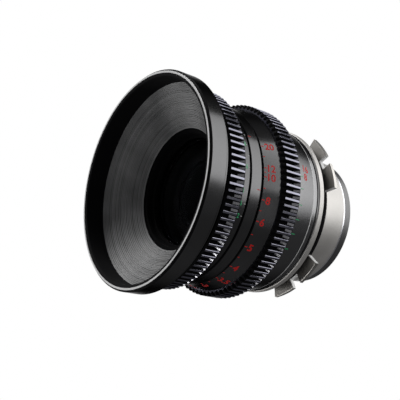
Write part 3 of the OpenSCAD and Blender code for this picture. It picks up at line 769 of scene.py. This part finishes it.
# Rear and front curves and edge thickness of each element
FRONT_CURVES = (-160.0, 62.0)
INNER_CURVES = (90.0, 70.0)
OUTER_CURVES = (80.0, 55.0)
FRONT_EDGE = 2.4
INNER_EDGE = 1.6
OUTER_EDGE = 2.0
Z_LEDGE = Z_FLOOR + 5.4
Z_REAR_LEDGE = -2.5
Z_GLASS = Z_IRIS0 - FRONT_EDGE
Z_INNER = Z_LEDGE + sag(INNER_CURVES[0], REAR_SEAT_R) - sag(INNER_CURVES[0], LEDGE_R)
Z_OUTER = Z_REAR_LEDGE - sag(OUTER_CURVES[1], REAR_SEAT_R) + sag(OUTER_CURVES[1], LEDGE_R) - OUTER_EDGE
lens("front_glass_element", FRONT_GLASS, GLASS_R, Z_GLASS, FRONT_EDGE, FRONT_CURVES,
     "barrel", "glass", "front_element")
lens("rear_glass_inner", REAR_GLASS, REAR_GLASS_R, Z_INNER, INNER_EDGE, INNER_CURVES,
     "carriage", "glass", "rear_element_1")
lens("rear_glass_outer", REAR_GLASS, REAR_GLASS_R, Z_OUTER, OUTER_EDGE, OUTER_CURVES,
     "carriage", "glass", "rear_element_2")


# Engraved and filled markings, plain numbers and lines only
MARK_SINK = -0.04
MARK_LIFT = 0.025
FIGURE_THICK = 0.065
FIGURE_BOLD = 0.036
FIGURE_CUT = 0.35
CUT_SHIFT = 0.013
CAP_HEIGHT = 0.7
FIGURE_H = 2.7
STOP_H = 1.7
LONG_LINE_W = 0.35
LINE_W = 0.3
FINE_LINE_W = 0.22
INDEX_TURN = 55.0
FOCUS_INDEX_TURN = 22.0
IRIS_RANGE = 50.0

# Where figures and lines start and end, in mm from the edge of their band
FOCUS_FIGURE_AT = 2.0
FOCUS_LONG_AT = 1.6
FOCUS_SHORT_AT = 1.3
FOCUS_LINE_END = 0.5
IRIS_FIGURE_AT = 4.2
IRIS_LINE = (0.4, 1.2)
INDEX_LINE = (0.35, 1.8)
DEPTH_FIGURE_AT = 4.6
DEPTH_LINE = (1.2, 3.9)


class Marks:
    """Collects thin raised marks that follow a turned surface."""

    def __init__(self, radius_at):
        self.radius_at = radius_at
        self.verts, self.faces = [], []

    def line(self, a, z0, z1, width):
        """Line along the axis at the angle a, from one station to another."""
        half = math.degrees(width / 2 / self.radius_at(z0))
        base = len(self.verts)
        for lift in (MARK_SINK, MARK_LIFT):
            for aa, z in ((a - half, z0), (a + half, z0), (a + half, z1), (a - half, z1)):
                self.verts.append(at(self.radius_at(z) + lift, aa, z))
        quads = [(4, 5, 6, 7), (3, 2, 1, 0), (0, 1, 5, 4), (1, 2, 6, 5), (2, 3, 7, 6), (3, 0, 4, 7)]
        self.faces += [tuple(base + i for i in q) for q in quads]

    def text(self, body, a, z_start, height):
        """Figure that reads toward the rear, cut in strips so that it follows the round surface."""
        curve = bpy.data.curves.new("figure", "FONT")
        curve.body = body
        curve.size = height / CAP_HEIGHT
        curve.extrude = FIGURE_THICK / 2
        curve.offset = height * FIGURE_BOLD
        curve.resolution_u = 3
        curve.align_y = "CENTER"
        o = bpy.data.objects.new("figure", curve)
        bpy.context.scene.collection.objects.link(o)
        bpy.context.view_layer.update()
        mesh = bpy.data.meshes.new_from_object(o.evaluated_get(bpy.context.evaluated_depsgraph_get()))
        bpy.data.objects.remove(o)
        low = min(v.co.x for v in mesh.vertices)
        bottom = min(v.co.y for v in mesh.vertices)
        top = max(v.co.y for v in mesh.vertices)
        mid = (bottom + top) / 2
        bm = bmesh.new()
        bm.from_mesh(mesh)
        cuts = math.ceil((top - bottom) / FIGURE_CUT)
        for i in range(1, cuts):
            y = bottom + (top - bottom) * (i + CUT_SHIFT) / cuts
            bmesh.ops.bisect_plane(bm, geom=bm.verts[:] + bm.edges[:] + bm.faces[:], dist=1e-6,
                                   plane_co=(0, y, 0), plane_no=(0, 1, 0))
        bm.to_mesh(mesh)
        bm.free()
        base = len(self.verts)
        for v in mesh.vertices:
            z = z_start - (v.co.x - low)
            r = self.radius_at(z)
            lift = v.co.z + MARK_LIFT - FIGURE_THICK / 2
            self.verts.append(at(r + lift, a + math.degrees((v.co.y - mid) / r), z))
        self.faces += [tuple(base + i for i in p.vertices) for p in mesh.polygons]
        bpy.data.meshes.remove(mesh)

    def make(self, name, finish, body, slot):
        """One closed mesh of all marks collected."""
        mesh = bpy.data.meshes.new(name)
        mesh.from_pydata(self.verts, [], self.faces)
        bm = bmesh.new()
        bm.from_mesh(mesh)
        bmesh.ops.remove_doubles(bm, verts=bm.verts[:], dist=1e-7)
        bmesh.ops.recalc_face_normals(bm, faces=bm.faces[:])
        bm.to_mesh(mesh)
        bm.free()
        mesh.materials.append(finish)
        mesh.update()
        return add(name, mesh, body, slot)


def focus_r(z):
    """Radius of the focus scale band."""
    return BAND_F1 + (BAND_F0 - BAND_F1) * (z - Z_FOCUS_T1) / (Z_FOCUS1 - EDGE_BEVEL - Z_FOCUS_T1)


def iris_r(z):
    """Radius of the iris scale band."""
    start = Z_IRIS0 + BAND_BEVEL
    return BAND_I0 + (BAND_I1 - BAND_I0) * (z - start) / (Z_IRIS_T0 - TOOTH_BEVEL - start)


def rear_r(z):
    """Radius of the rear barrel."""
    start = Z_STEP + BAND_BEVEL
    return REAR_R0 + (REAR_R1 - REAR_R0) * (z - start) / (Z_REAR - EDGE_BEVEL - start)


# Focus figures with their angles, then the lines halfway between them
figures = [("20", 51.2), ("12", 36.5), ("10", 30.9), ("8", 17.1), ("6", 4.2), ("5", -12.5), ("4", -29.0),
           ("3.5", -43.0), ("3", -58.0), ("2.5", -75.0), ("2", -95.0), ("1.7", -118.0), ("1.5", -144.0),
           ("1.2", -172.0)]
marks = Marks(focus_r)
for text, a in figures:
    marks.text(text, a, Z_FOCUS1 - FOCUS_FIGURE_AT, FIGURE_H)
    marks.line(a, Z_FOCUS1 - FOCUS_LONG_AT, Z_FOCUS1 - FOCUS_LINE_END, LONG_LINE_W)
for (_, a0), (_, a1) in zip(figures, figures[1:]):
    marks.line((a0 + a1) / 2, Z_FOCUS1 - FOCUS_SHORT_AT, Z_FOCUS1 - FOCUS_LINE_END, LINE_W)
marks.make("focus_figures", RED, "focus", "black_satin")

# Iris figures spread over the range of the iris ring
stops = ["2", "2.8", "4", "5.6", "8", "11", "16", "22"]
marks = Marks(iris_r)
ticks = Marks(iris_r)
for i, text in enumerate(stops):
    a = INDEX_TURN - i * IRIS_RANGE / (len(stops) - 1)
    marks.text(text, a, Z_IRIS0 + IRIS_FIGURE_AT, STOP_H)
    ticks.line(a, Z_IRIS0 + IRIS_LINE[0], Z_IRIS0 + IRIS_LINE[1], FINE_LINE_W)
marks.make("iris_figures", GREEN, "iris", "black_satin")
ticks.make("iris_lines", WHITE, "iris", "black_satin")

# Index lines of both rings
marks = Marks(lambda z: INDEX_R)
marks.line(INDEX_TURN, Z_INDEX1 - INDEX_LINE[1], Z_INDEX1 - INDEX_LINE[0], LINE_W)
marks.line(FOCUS_INDEX_TURN, Z_INDEX0 + INDEX_LINE[0], Z_INDEX0 + INDEX_LINE[1], LINE_W)
marks.make("index_lines", RED, "barrel", "black_satin")

# Depth lines and figures on the rear barrel
marks = Marks(rear_r)
for a in (38.0, 30.0, 20.0, 11.0, 2.0, -8.0):
    marks.line(a, Z_REAR - DEPTH_LINE[1], Z_REAR - DEPTH_LINE[0], LINE_W)
marks.make("depth_lines", GREEN, "barrel", "black_satin")
marks = Marks(rear_r)
for text, a in (("16", 44.3), ("8", 38.6)):
    marks.text(text, a, Z_REAR - DEPTH_FIGURE_AT, FIGURE_H)
marks.make("depth_figures", RED, "barrel", "black_satin")


# Finishes of the CAD pieces that stay
FINISH = {
    "main_barrel": DARK, "mount_screws": SCREW, "front_cell": MATTE_AND_PAINTED_SHADE, "front_retainer": MATTE_AND_PAINTED_SHADE,
    "iris_base": DARK, "focus_stop": SCREW, "iris_actuator": DARK, "iris_pin": SCREW, "cam_sleeve": BRASS,
    "focus_screws": OXIDE, "focus_carriage": DARK, "focus_pin": SCREW, "guide_keys": BRASS,
    "carriage_retainer": MATTE_AND_PAINTED_SHADE, "rear_retainer": MATTE_AND_PAINTED_SHADE,
}
for k in range(1, 7):
    FINISH["blade_%d" % k] = BLADE
for name, finish in FINISH.items():
    o = nodes[name]
    if not o.material_slots:
        o.data.materials.append(finish)
    for s in o.material_slots:
        s.material = finish


# Camera place and axes, fitted to the ring ellipses of the photograph
CAM_AT = Vector((0.240964, -0.214856, 0.047340))
CAM_RIGHT = Vector((0.503374, 0.788307, 0.353818))
CAM_UP = Vector((-0.335160, -0.199288, 0.920843))
CAM_BACK = Vector((0.796419, -0.582114, 0.163892))
FOCAL_PX = 761.85
IMAGE_PX = 400
SENSOR = 36.0

# Stage: pale floor far below, and a backdrop that is white behind the object and fades to the surround
SURROUND = (0.125, 0.125, 0.128)
PAPER = (0.8, 0.8, 0.8)
GLOW_R = 1.6
FADE_R = 2.7
FLOOR_Z = -3.4
FLOOR_SIDE = 80
BACKDROP_SIDE = 5.4
BACKDROP_FAR = 4


def plane(name, centre, x, y, side, finish):
    """Square stage plane from its centre and its two directions."""
    mesh = bpy.data.meshes.new(name)
    half = side / 2
    corners = [centre + x * (i * half) + y * (j * half) for i, j in ((-1, -1), (1, -1), (1, 1), (-1, 1))]
    mesh.from_pydata(corners, [], [(0, 1, 2, 3)])
    mesh.materials.append(finish)
    o = bpy.data.objects.new(name, mesh)
    bpy.context.scene.collection.objects.link(o)
    return o


def paper(name, colour, glow=None):
    """Pale paper; round a glow centre it looks plain white, and fades to the surround."""
    m = bpy.data.materials.new(name)
    m.use_nodes = True
    t = m.node_tree
    p = t.nodes["Principled BSDF"]
    coord = t.nodes.new("ShaderNodeTexCoord").outputs["Object"]
    shade = tuple(c * 0.97 for c in colour)
    t.links.new(ramp(t, spots(t, coord, 40.0), 0.3, 0.7, shade, colour), p.inputs["Base Color"])
    p.inputs["Roughness"].default_value = 0.8
    p.inputs["Specular IOR Level"].default_value = 0.2
    if glow:
        far = t.nodes.new("ShaderNodeVectorMath")
        far.operation = "DISTANCE"
        far.inputs[1].default_value = glow
        t.links.new(coord, far.inputs[0])
        fade = t.nodes.new("ShaderNodeMapRange")
        fade.interpolation_type = "SMOOTHSTEP"
        fade.inputs["From Min"].default_value = GLOW_R
        fade.inputs["From Max"].default_value = FADE_R
        t.links.new(far.outputs["Value"], fade.inputs["Value"])
        path = t.nodes.new("ShaderNodeLightPath")
        ray = path.outputs
        mirrored = math_node(t, "MAXIMUM", ray["Is Glossy Ray"], ray["Is Transmission Ray"])
        seen = math_node(t, "MAXIMUM", ray["Is Camera Ray"], mirrored)
        light = t.nodes.new("ShaderNodeEmission")
        t.links.new(ramp(t, fade.outputs[0], 0.0, 1.0, (1, 1, 1), SURROUND), light.inputs["Color"])
        light.inputs["Strength"].default_value = 1.0
        mix = t.nodes.new("ShaderNodeMixShader")
        t.links.new(seen, mix.inputs[0])
        t.links.new(p.outputs[0], mix.inputs[1])
        t.links.new(light.outputs[0], mix.inputs[2])
        t.links.new(mix.outputs[0], t.nodes["Material Output"].inputs["Surface"])
    return m


behind = CAM_AT - CAM_BACK * BACKDROP_FAR
plane("floor", Vector((0, 0, FLOOR_Z)), Vector((1, 0, 0)), Vector((0, 1, 0)), FLOOR_SIDE,
      paper("floor_paper", PAPER))
plane("backdrop", behind, CAM_RIGHT, CAM_UP, BACKDROP_SIDE, paper("backdrop_paper", PAPER, behind))


# Light
def softbox(name, place, target, along, sx, sy, watts):
    """Rectangular lamp that faces a target, with its first edge along a direction."""
    light = bpy.data.lights.new(name, "AREA")
    light.shape = "RECTANGLE"
    light.size = sx
    light.size_y = sy
    light.energy = watts
    o = bpy.data.objects.new(name, light)
    z = (place - target).normalized()
    x = (along - z * along.dot(z)).normalized()
    y = z.cross(x)
    o.matrix_world = Matrix.Translation(place) @ Matrix((x, y, z)).transposed().to_4x4()
    bpy.context.scene.collection.objects.link(o)
    return o


middle = Vector((0, -0.03, 0))

# Name, direction and distance from the middle of the lens, first edge, its length, the other, watts
LAMPS = [
    ("key_softbox", (0.35, 0.645, 0.68), 0.6, (0.876, 0, -0.482), 0.66, 0.56, 2.8),
    ("front_softbox", (-0.74, -0.43, 0.52), 1.0, (1, -0.6, 0), 0.4, 0.4, 10.0),
    ("fill_softbox", (0.97, -0.14, 0.2), 1.0, (0, 1, 0), 0.5, 0.5, 0.9),
    ("low_strip", (0.228, -0.522, -0.823), 0.7, (-0.78, 0.39, -0.55), 0.8, 0.06, 1.0),
    ("hood_softbox", (-0.68, -0.42, -0.6), 1.0, (0, 0, 1), 0.2, 0.2, 2.8),
]
for name, way, far, along, sx, sy, watts in LAMPS:
    softbox(name, middle + Vector(way) * far, middle, Vector(along), sx, sy, watts)

world = bpy.data.worlds.new("studio")
bpy.context.scene.world = world
world.use_nodes = True
world.node_tree.nodes["Background"].inputs["Color"].default_value = (*SURROUND, 1)
world.node_tree.nodes["Background"].inputs["Strength"].default_value = 1.0

# Camera
cam_data = bpy.data.cameras.new("camera")
cam_data.sensor_width = SENSOR
cam_data.lens = FOCAL_PX / IMAGE_PX * SENSOR
cam_data.clip_start = 0.01
cam = bpy.data.objects.new("camera", cam_data)
cam.matrix_world = Matrix.Translation(CAM_AT) @ Matrix((CAM_RIGHT, CAM_UP, CAM_BACK)).transposed().to_4x4()
bpy.context.scene.collection.objects.link(cam)
bpy.context.scene.camera = cam

bpy.context.scene.view_settings.view_transform = "Standard"

bpy.context.view_layer.update()
